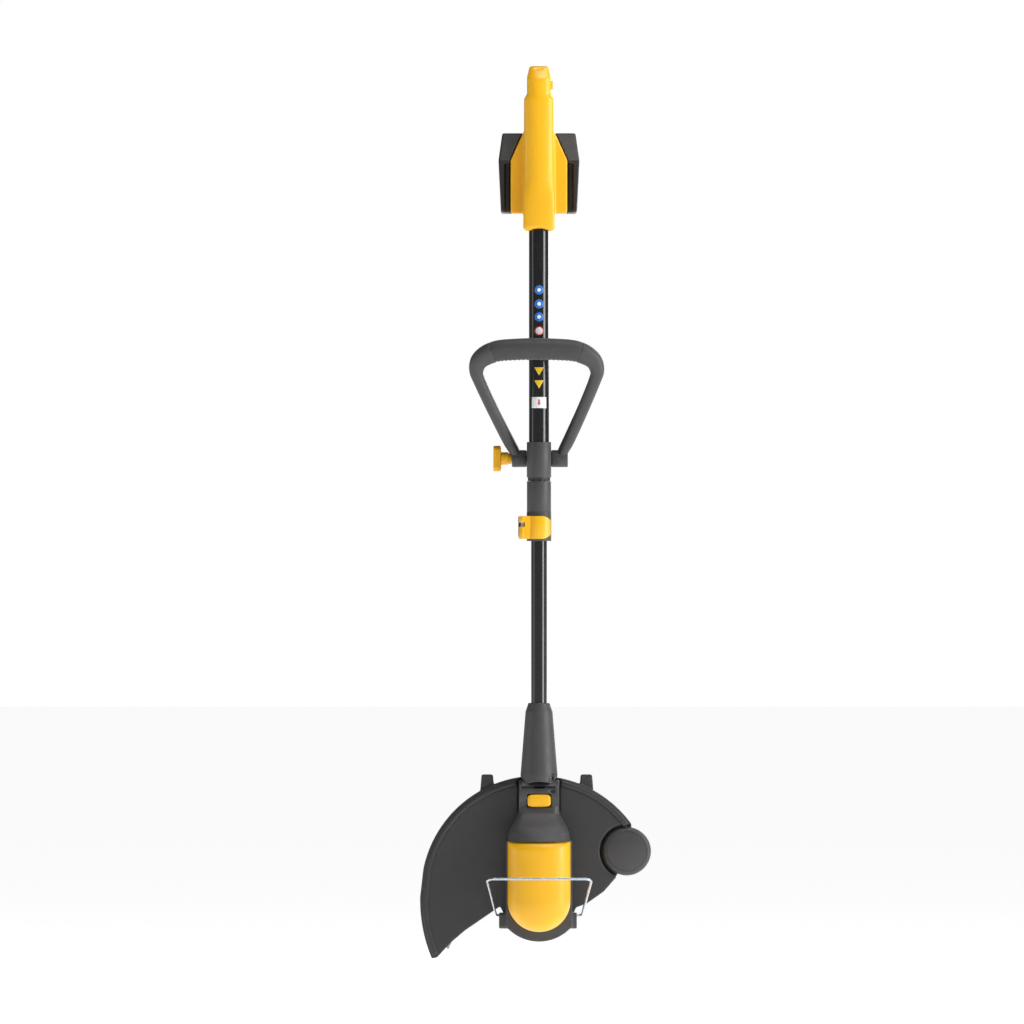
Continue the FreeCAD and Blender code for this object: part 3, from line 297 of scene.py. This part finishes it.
def rubber(name, colour):
    """Soft overmould: fine pebbling and a dry sheen."""
    material, tree, shader, place = start_material(name, colour, 0.62)
    drift = noise(tree, place, 25.0, 5.0)
    tree.links.new(two_tone(tree, drift, shade(colour, 0.85), shade(colour, 1.15)), shader.inputs["Base Color"])
    tree.links.new(spread(tree, noise(tree, place, 90.0, 6.0), 0.55, 0.7), shader.inputs["Roughness"])
    cells = tree.nodes.new("ShaderNodeTexVoronoi")
    cells.inputs["Scale"].default_value = 620.0
    tree.links.new(place, cells.inputs["Vector"])
    relief(tree, shader, cells.outputs["Distance"], 0.00015, 0.45)
    shader.inputs["Sheen Weight"].default_value = 0.15
    shader.inputs["Sheen Roughness"].default_value = 0.5
    return material


def printed_film(name, colour):
    """A printed vinyl sticker under a clear film."""
    material, tree, shader, place = start_material(name, colour, 0.3)
    drift = noise(tree, place, 120.0, 4.0)
    tree.links.new(two_tone(tree, drift, shade(colour, 0.94), shade(colour, 1.04)), shader.inputs["Base Color"])
    relief(tree, shader, noise(tree, place, 300.0, 2.0), 0.00003, 0.2)
    shader.inputs["Coat Weight"].default_value = 0.5
    shader.inputs["Coat Roughness"].default_value = 0.1
    return material


def make_materials():
    MATERIALS["yellow_plastic"] = moulded("yellow_plastic", (0.84, 0.435, 0.003), 0.40, 700.0, 0.3, 0.1)
    MATERIALS["grey_plastic"] = moulded("grey_plastic", (0.048, 0.048, 0.050), 0.5, 900.0, 0.5)
    MATERIALS["guard_plastic"] = moulded("guard_plastic", (0.030, 0.030, 0.032), 0.46, 900.0, 0.4)
    MATERIALS["dark_plastic"] = moulded("dark_plastic", (0.022, 0.022, 0.025), 0.45, 800.0, 0.45)
    MATERIALS["battery_plastic"] = moulded("battery_plastic", (0.018, 0.018, 0.020), 0.42, 800.0, 0.5)
    MATERIALS["black_tube"] = painted_tube()
    MATERIALS["grip_rubber"] = rubber("grip_rubber", (0.034, 0.034, 0.036))
    MATERIALS["chrome_wire"] = metal("chrome_wire", (0.50, 0.54, 0.60), 0.26, (1.0, 1.0, 1.0), 0.1)
    MATERIALS["steel"] = metal("zinc_plated_steel", (0.50, 0.50, 0.50), 0.32, (1.0, 6.0, 1.0))
    MATERIALS["brass"] = metal("turned_brass", (0.62, 0.42, 0.16), 0.25, (1.0, 1.0, 6.0))
    MATERIALS["board"] = moulded("solder_mask", (0.02, 0.12, 0.05), 0.35, 400.0, 0.3, 0.3)
    MATERIALS["cells"] = moulded("shrink_sleeve", (0.02, 0.09, 0.24), 0.3, 300.0, 0.2, 0.3)
    MATERIALS["nylon"] = moulded("nylon_line", (0.72, 0.18, 0.03), 0.3, 500.0, 0.3, 0.2)
    MATERIALS["sticker_blue"] = printed_film("sticker_blue", (0.02, 0.16, 0.55))
    MATERIALS["sticker_white"] = printed_film("sticker_white", (0.82, 0.83, 0.84))
    MATERIALS["sticker_red"] = printed_film("sticker_red", (0.62, 0.03, 0.03))
    MATERIALS["sticker_yellow"] = printed_film("sticker_yellow", (0.85, 0.55, 0.02))


# Mesh helpers

def link(name, mesh, material, body):
    """A new visible piece, riding on a CAD body."""
    piece = bpy.data.objects.new(name, mesh)
    bpy.context.scene.collection.objects.link(piece)
    mesh.materials.clear()
    mesh.materials.append(MATERIALS[material])
    for polygon in mesh.polygons:
        polygon.use_smooth = True
    if body:
        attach(piece, body)
    return piece


def meshed(name, points, faces):
    mesh = bpy.data.meshes.new(name)
    mesh.from_pydata(points, [], faces)
    mesh.update()
    return mesh


def applied(mesh, name, settings):
    """The mesh after a list of modifiers, each with its own values."""
    carrier = bpy.data.objects.new(name, mesh)
    bpy.context.scene.collection.objects.link(carrier)
    for kind, values in settings:
        modifier = carrier.modifiers.new(kind, kind)
        for key, value in values.items():
            setattr(modifier, key, value)
    bpy.context.view_layer.update()
    shown = carrier.evaluated_get(bpy.context.evaluated_depsgraph_get())
    result = bpy.data.meshes.new_from_object(shown)
    bpy.data.objects.remove(carrier)
    return result


def softened(name, nodes, voxel, passes, material=None, shape=None, thin=0.4):
    """One moulding with its edges rounded off, in place of one or more sharp CAD solids."""
    joined = bmesh.new()
    for node in nodes:
        joined.from_mesh(frame["nodes"][node].data)
    raw = bpy.data.meshes.new(name + "_raw")
    joined.to_mesh(raw)
    joined.free()
    mesh = applied(raw, name + "_carrier", [
        ("REMESH", {"mode": "VOXEL", "voxel_size": voxel, "use_smooth_shade": True}),
        ("SMOOTH", {"factor": 0.5, "iterations": passes})])
    if shape:
        for vertex in mesh.vertices:
            shape(vertex.co)
    mesh = applied(mesh, name + "_thinned", [("DECIMATE", {"ratio": thin})])
    slot = SLOT_OF[nodes[0]]
    piece = link(name, mesh, material or slot, BODY_OF[nodes[0]])
    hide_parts(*nodes)
    return piece


def bow(point, back, share, amount):
    """Pulls the front of a moulding back towards its sides, so a flat front turns into a round one."""
    if point.y < back:
        fall = 1 - math.sqrt(1 - min(share, 1.0) ** 2)
        point.y = back + (point.y - back) * (1 - amount * fall)


def between(value, stations):
    """A value read off a list of (place, value) stations that fall in place."""
    for (high, first), (low, second) in zip(stations, stations[1:]):
        if value >= low:
            share = min(max((high - value) / (high - low), 0.0), 1.0)
            return first + (second - first) * share
    return stations[-1][1]


def handle_shape(point):
    """A round spine, and an arched lower edge where the tube goes in."""
    bow(point, HANDLE_SIDE_Y, abs(point.x) / between(point.z, HANDLE_WIDTHS), between(point.z, HANDLE_BOWS))
    if point.z < SCALLOP_TOP:
        share = max(0.0, 1 - (point.x / TUBE_R) ** 2)
        point.z += SCALLOP * share * (SCALLOP_TOP - point.z) / SCALLOP_HEIGHT


def cap_shape(point):
    """The motor cap's front, round across its sides and round its lower end."""
    below = max(0.0, CAP_ARC_Z - point.z)
    bow(point, HEAD_SIDE_Y, math.hypot(point.x, below) / CAP_HALF, HEAD_BOW)


def dimple(point, x, z):
    """A round screw well in a front face that curves away to the right."""
    if point.y < WELL_FRONT_Y and math.hypot(point.x - x, (point.z - z) * WELL_SQUASH) < WELL_R:
        point.y += WELL_DEPTH


def neck_shape(point):
    """The neck's front runs down to the barrel and has a screw well at its right."""
    if point.z < NECK_SKIRT_Z and point.y < HEAD_SIDE_Y:
        middle = max(0.0, 1 - (point.x / NECK_HALF) ** 2)
        ramp = min(1.0, (NECK_SKIRT_Z - point.z) / NECK_SKIRT_RAMP)
        point.z -= NECK_SKIRT * middle * ramp
    dimple(point, *NECK_WELL)


def guard_shape(point):
    """The skirt behind the edge wheel closes up to the wheel at its top."""
    if point.y > SKIRT_FRONT and point.x > SKIRT_X and point.z > SKIRT_Z:
        point.z -= SKIRT_DROP * min(1.0, (point.x - SKIRT_X) / SKIRT_RAMP)


def flare_shape(point):
    """The housing's flare, rounder the nearer it comes to the motor cap."""
    dimple(point, *BARREL_WELL)
    bow(point, HEAD_SIDE_Y, abs(point.x) / between(point.z, FLARE_WIDTHS), between(point.z, FLARE_BOWS))


def loft(rings):
    """A mesh skinned over rings of equal length and closed at both ends."""
    count = len(rings[0])
    points = [point for ring in rings for point in ring]
    faces = []
    for level in range(len(rings) - 1):
        for index in range(count):
            following = (index + 1) % count
            low, high = level * count, (level + 1) * count
            faces.append((low + index, low + following, high + following, high + index))
    faces.append(tuple(reversed(range(count))))
    faces.append(tuple(range(len(points) - count, len(points))))
    return meshed("skin", points, faces)


def smooth_path(knots, steps):
    """A Catmull-Rom curve through knots of any dimension."""
    out = []
    for index in range(len(knots) - 1):
        a = knots[max(index - 1, 0)]
        b = knots[index]
        c = knots[index + 1]
        d = knots[min(index + 2, len(knots) - 1)]
        for step in range(steps):
            t = step / steps
            out.append([0.5 * (2 * q + (r - p) * t + (2 * p - 5 * q + 4 * r - s) * t * t
                               + (3 * q - p - 3 * r + s) * t ** 3) for p, q, r, s in zip(a, b, c, d)])
    out.append(list(knots[-1]))
    return out


def superellipse(count, power):
    """A unit ring between a circle (power 2) and a box (high power)."""
    ring = []
    for index in range(count):
        turn = 2 * math.pi * index / count
        c, s = math.cos(turn), math.sin(turn)
        ring.append((math.copysign(abs(c) ** (2 / power), c), math.copysign(abs(s) ** (2 / power), s)))
    return ring


# Loop handle

def loop_place(x, up, depth):
    """A point of the loop handle's own plane, leaned about its pivot and set a little to the left at its top."""
    pivot = Vector(JOINTS["loop_tilt"]["pos_m"])
    lean = Matrix.Rotation(LOOP_LEAN, 3, "X")
    drift = LOOP_X * min(1.0, up / (LOOP_TOP_MM * MM))
    return pivot + lean @ Vector((x + drift, depth, up))


def loop_rings(path, serrated):
    """Rings square to the path, with finger serrations along the underside where asked."""
    rings = []
    section = superellipse(*LOOP_SECTION)
    for index, (x, up, half, depth) in enumerate(path):
        before = path[max(index - 1, 0)]
        after = path[min(index + 1, len(path) - 1)]
        along = Vector((after[0] - before[0], after[1] - before[1])).normalized()
        across = Vector((along.y, -along.x))
        ring = []
        for u, v in section:
            groove = 0.0
            if serrated and u * across.y < UNDERSIDE:
                groove = SERRATION_DEPTH_MM * abs(math.sin(math.pi * x / SERRATION_MM)) * abs(u)
            reach = half - groove
            ring.append(loop_place((x + across.x * u * reach) * MM, (up + across.y * u * reach) * MM, v * depth * MM))
        rings.append(ring)
    return rings


def loop_handle():
    """The bow's bare core, its two bosses, and the soft sleeve over the top bar."""
    half = smooth_path(LOOP_KNOTS_MM, LOOP_STEPS)
    path = half + [[-x, up, wide, deep] for x, up, wide, deep in reversed(half[:-1])]
    core = []
    sleeve = []
    for x, up, wide, deep in path:
        covered = up > GRIP_LOWEST_MM and abs(x) <= GRIP_END_MM
        thinner = GRIP_INSET_MM if covered else BOW_INSET_MM
        core.append((x, up, wide - thinner, deep - thinner))
        if covered:
            taper = BOW_INSET_MM * max(0.0, 1 - (GRIP_END_MM - abs(x)) / GRIP_TAPER_MM)
            sleeve.append((x, up, wide - taper, deep - taper))
    bosses = turned_x("bosses", [BOSS_LEFT, BOSS_RIGHT])
    for name, mesh in (("loop_handle_bow", loft(loop_rings(core, False))), ("loop_handle_bosses", bosses)):
        piece = link(name, mesh, "grey_plastic", "loop")
        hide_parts("loop_handle")
    grip = link("loop_grip_sleeve", loft(loop_rings(sleeve, True)), "grip_rubber", "loop")
    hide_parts("loop_grip")


def turned_x(name, profiles, turns=56):
    """A mesh of closed profiles of (x, radius) in millimetres, turned about the loop's pivot along X."""
    pivot = Vector(JOINTS["loop_tilt"]["pos_m"])
    points, faces = [], []
    for profile in profiles:
        base = len(points)
        for x, radius in profile:
            for index in range(turns):
                turn = 2 * math.pi * index / turns
                points.append((x * MM, pivot.y + radius * MM * math.cos(turn), pivot.z + radius * MM * math.sin(turn)))
        for level in range(len(profile)):
            first = base + level * turns
            after = base + (level + 1) % len(profile) * turns
            for index in range(turns):
                following = (index + 1) % turns
                faces.append((first + index, after + index, after + following, first + following))
    return meshed(name, points, faces)


def knob_collar():
    """The yellow hub between the knob's wing and the loop's left boss."""
    link("knob_collar", turned_x("collar", [KNOB_COLLAR]), "yellow_plastic", "loop_knob")


# Stickers on the upper tube

def tube_patch(outline, height, rim=FILM):
    """A thin sticker wrapped on the front of the upper tube: outline is a list of (across, up)."""
    steps = PATCH_RINGS
    count = len(outline)
    points = [(0, -(TUBE_R + rim), height)]
    rings = [[(across * step / steps, up * step / steps) for across, up in outline] for step in range(1, steps + 1)]
    radii = [TUBE_R + rim] * steps + [TUBE_R - FILM_SUNK]
    for ring, radius in zip([*rings, rings[-1]], radii):
        points += [(radius * math.sin(across / TUBE_R), -radius * math.cos(across / TUBE_R), height + up)
                   for across, up in ring]
    faces = [(0, 1 + index, 1 + (index + 1) % count) for index in range(count)]
    for level in range(steps):
        for index in range(count):
            following = (index + 1) % count
            low, high = 1 + level * count, 1 + (level + 1) * count
            faces.append((low + index, high + index, high + following, low + following))
    return meshed("patch", points, faces)


def disc(radius, count=40):
    return [(radius * math.cos(2 * math.pi * index / count), radius * math.sin(2 * math.pi * index / count))
            for index in range(count)]


def polygon(corners, steps=6):
    """A closed outline with points along each of its sides."""
    out = []
    for index, corner in enumerate(corners):
        after = corners[(index + 1) % len(corners)]
        for step in range(steps):
            t = step / steps
            out.append((corner[0] + (after[0] - corner[0]) * t, corner[1] + (after[1] - corner[1]) * t))
    return out


def sticker(name, outline, height, material, rim=FILM):
    link(name, tube_patch(outline, height, rim), material, "handle")


def stickers():
    """Blank discs, triangles and a label with a plain arrow."""
    for index, height in enumerate(DISC_HEIGHTS):
        sticker(f"sticker_disc_{index}", disc(DISC_R), height, "sticker_blue")
        sticker(f"sticker_dot_{index}", disc(DISC_R * DOT_SHARE), height, "sticker_white", TOP_FILM)
    sticker("sticker_ring_red", disc(DISC_R), RING_HEIGHT, "sticker_red")
    sticker("sticker_ring_white", disc(DISC_R * RING_SHARE), RING_HEIGHT, "sticker_white", TOP_FILM)
    for index, height in enumerate(TRIANGLE_HEIGHTS):
        sticker(f"sticker_triangle_{index}", polygon(TRIANGLE), height, "sticker_yellow")
    sticker("sticker_label", polygon(LABEL), LABEL_HEIGHT, "sticker_white")
    sticker("sticker_arrow", polygon(ARROW, 2), LABEL_HEIGHT, "sticker_red", TOP_FILM)


# Guard rim

def rim_arc(centre, radius, start, end, count):
    out = []
    for index in range(count):
        turn = math.radians(start + (end - start) * index / (count - 1))
        reach = radius - RIM_INSET
        out.append((centre[0] + reach * math.cos(turn), centre[1] + reach * math.sin(turn)))
    return out


def guard_bead():
    """The rounded rim that runs along the guard's curved edge."""
    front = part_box("guard")[0].y
    section = superellipse(*RIM_SECTION)
    routes = (rim_arc(*RIM_TIP_ARC) + rim_arc(*RIM_LEFT_ARC), rim_arc(*RIM_RIGHT_ARC))
    for index, route in enumerate(routes):
        rings = []
        for place in range(len(route)):
            before = Vector(route[max(place - 1, 0)])
            after = Vector(route[min(place + 1, len(route) - 1)])
            along = (after - before).normalized()
            across = Vector((along.y, -along.x))
            here = Vector(route[place])
            ring = []
            for u, v in section:
                point = here + across * (u * RIM_HALF_WIDTH_MM * MM)
                ring.append((point.x, front + (v * RIM_RISE_MM + RIM_SINK_MM) * MM, point.y))
            rings.append(ring)
        link(f"guard_rim_{index}", loft(rings), "guard_plastic", "head")


# Carried-over CAD nodes

def dress_cad():
    """Every CAD node gets the finish of its own slot."""
    for node, thing in frame["nodes"].items():
        thing.data.materials.clear()
        thing.data.materials.append(MATERIALS[SLOT_OF[node]])


def soft_mouldings():
    """The large mouldings, with the voxel size and smoothing that suit their walls."""
    softened("handle_moulding", ("handle_shell_left", "handle_shell_right"), 1.2 * MM, 8, shape=handle_shape)
    softened("battery_front_moulding", ("battery_case_front",), 1.2 * MM, 4, "battery_plastic")
    softened("battery_rear_moulding", ("battery_case_rear",), 1.2 * MM, 4, "battery_plastic")
    softened("head_moulding", ("head_housing_left", "head_housing_right"), 1.0 * MM, 8, shape=flare_shape)
    softened("cap_moulding", ("motor_cap",), 1.2 * MM, 8, shape=cap_shape)
    softened("neck_moulding", ("neck_shell_left", "neck_shell_right"), 0.9 * MM, 3, shape=neck_shape)
    softened("guard_moulding", ("guard",), 1.2 * MM, 3, "guard_plastic", guard_shape)


def rounded_edges(node, width):
    """Small round edges on a CAD node that keeps its own mesh: its faces are joined first."""
    thing = frame["nodes"][node]
    weld = thing.modifiers.new("weld", "WELD")
    weld.merge_threshold = 0.00001
    bevel = thing.modifiers.new("bevel", "BEVEL")
    bevel.width = width
    bevel.segments = 3
    bevel.limit_method = "ANGLE"
    bevel.angle_limit = math.radians(35)
    bevel.use_clamp_overlap = True
    bevel.harden_normals = True


def edge_work():
    """The round edges of the smaller parts."""
    for node in ("lock_collar", "clamp_front", "clamp_rear", "swivel_sleeve"):
        rounded_edges(node, 0.5 * MM)
    for node in ("lock_lever", "battery_latch", "trigger"):
        rounded_edges(node, 0.9 * MM)
    for node in ("spool_housing", "spool_cover", "bump_knob", "line_cutter"):
        rounded_edges(node, 0.4 * MM)


def button():
    """The tilt release: a rounded pad with a crowned front."""
    low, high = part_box("tilt_button")
    middle_x = (low.x + high.x) / 2
    middle_z = (low.z + high.z) / 2
    rings = []
    for scale, y in BUTTON_LAYERS:
        rings.append([(middle_x + u * BUTTON_HALF[0] * scale, y, middle_z + v * BUTTON_HALF[1] * scale)
                      for u, v in superellipse(48, BUTTON_CORNER)])
    piece = link("tilt_button_pad", loft(rings), "yellow_plastic", "tilt_button")
    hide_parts("tilt_button")


def coil():
    """The sprung power cable: a fixed helix wound from its foot up to its top, riding on no body."""
    low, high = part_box("coil_cable")
    centre_x = (low.x + high.x) / 2
    centre_y = (low.y + high.y) / 2
    radius = (high.x - low.x) / 2 - COIL_STRAND
    foot = low.z + COIL_STRAND
    turns = (high.z - COIL_STRAND - foot) / COIL_PITCH
    rings = []
    for step in range(int(turns * COIL_STEPS) + 1):
        turn = 2 * math.pi * step / COIL_STEPS
        out = Vector((math.cos(turn), math.sin(turn), 0))
        middle = Vector((centre_x, centre_y, foot + COIL_PITCH * step / COIL_STEPS)) + out * radius
        rings.append([middle + out * (COIL_STRAND * math.cos(2 * math.pi * side / COIL_SIDES))
                      + Vector((0, 0, COIL_STRAND * math.sin(2 * math.pi * side / COIL_SIDES)))
                      for side in range(COIL_SIDES)])
    piece = link("power_coil", loft(rings), "grip_rubber", None)
    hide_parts("coil_cable")
    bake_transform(piece)


# Stage

def camera():
    data = bpy.data.cameras.new("camera")
    data.lens = LENS_MM
    data.sensor_width = SENSOR_MM
    data.clip_end = VIEW_END
    thing = bpy.data.objects.new("camera", data)
    bpy.context.scene.collection.objects.link(thing)
    thing.location = (CAMERA_X, -CAMERA_DISTANCE, CAMERA_Z)
    thing.rotation_euler = (math.radians(90), 0, 0)
    bpy.context.scene.camera = thing


def area_light(name, place, target, size, power):
    data = bpy.data.lights.new(name, "AREA")
    data.shape = "RECTANGLE"
    data.size, data.size_y = size
    data.energy = power
    thing = bpy.data.objects.new(name, data)
    bpy.context.scene.collection.objects.link(thing)
    thing.location = place
    thing.rotation_mode = "QUATERNION"
    thing.rotation_quaternion = (Vector(target) - Vector(place)).to_track_quat("-Z", "Y")


def lights():
    middle = (0, 0, CAMERA_Z)
    for name, place, size, power in SOFTBOXES:
        area_light(name, place, middle, size, power)


def pale_floor():
    material = bpy.data.materials.new("pale_floor")
    material.use_nodes = True
    shader = material.node_tree.nodes["Principled BSDF"]
    shader.inputs["Base Color"].default_value = (FLOOR_GREY, FLOOR_GREY, FLOOR_GREY, 1.0)
    shader.inputs["Roughness"].default_value = 0.9
    shader.inputs["Specular IOR Level"].default_value = 0.1
    shader.inputs["Emission Color"].default_value = (1.0, 1.0, 1.0, 1.0)
    shader.inputs["Emission Strength"].default_value = FLOOR_GLOW
    return material


def stage():
    """A white backdrop that lights the object only faintly, over a pale floor."""
    world = bpy.data.worlds.new("studio")
    world.use_nodes = True
    tree = world.node_tree
    sky = tree.nodes["Background"]
    sky.inputs["Color"].default_value = (1.0, 1.0, 1.0, 1.0)
    seen = tree.nodes.new("ShaderNodeLightPath").outputs["Is Camera Ray"]
    tree.links.new(ranged(tree, seen, 0.0, 1.0, ROOM_LIGHT, 1.0), sky.inputs["Strength"])
    bpy.context.scene.world = world
    bpy.context.scene.view_settings.view_transform = "Standard"
    floor_z = cad_low.z - FLOOR_DROP
    corners = [(-FLOOR_HALF, -FLOOR_HALF), (FLOOR_HALF, -FLOOR_HALF), (FLOOR_HALF, FLOOR_HALF),
               (-FLOOR_HALF, FLOOR_HALF)]
    mesh = meshed("floor", [(x, y, floor_z) for x, y in corners], [(0, 1, 2, 3)])
    floor = bpy.data.objects.new("floor", mesh)
    bpy.context.scene.collection.objects.link(floor)
    mesh.materials.append(pale_floor())


make_materials()
camera()
lights()
stage()
dress_cad()
soft_mouldings()
edge_work()
button()
coil()
loop_handle()
knob_collar()
stickers()
guard_bead()
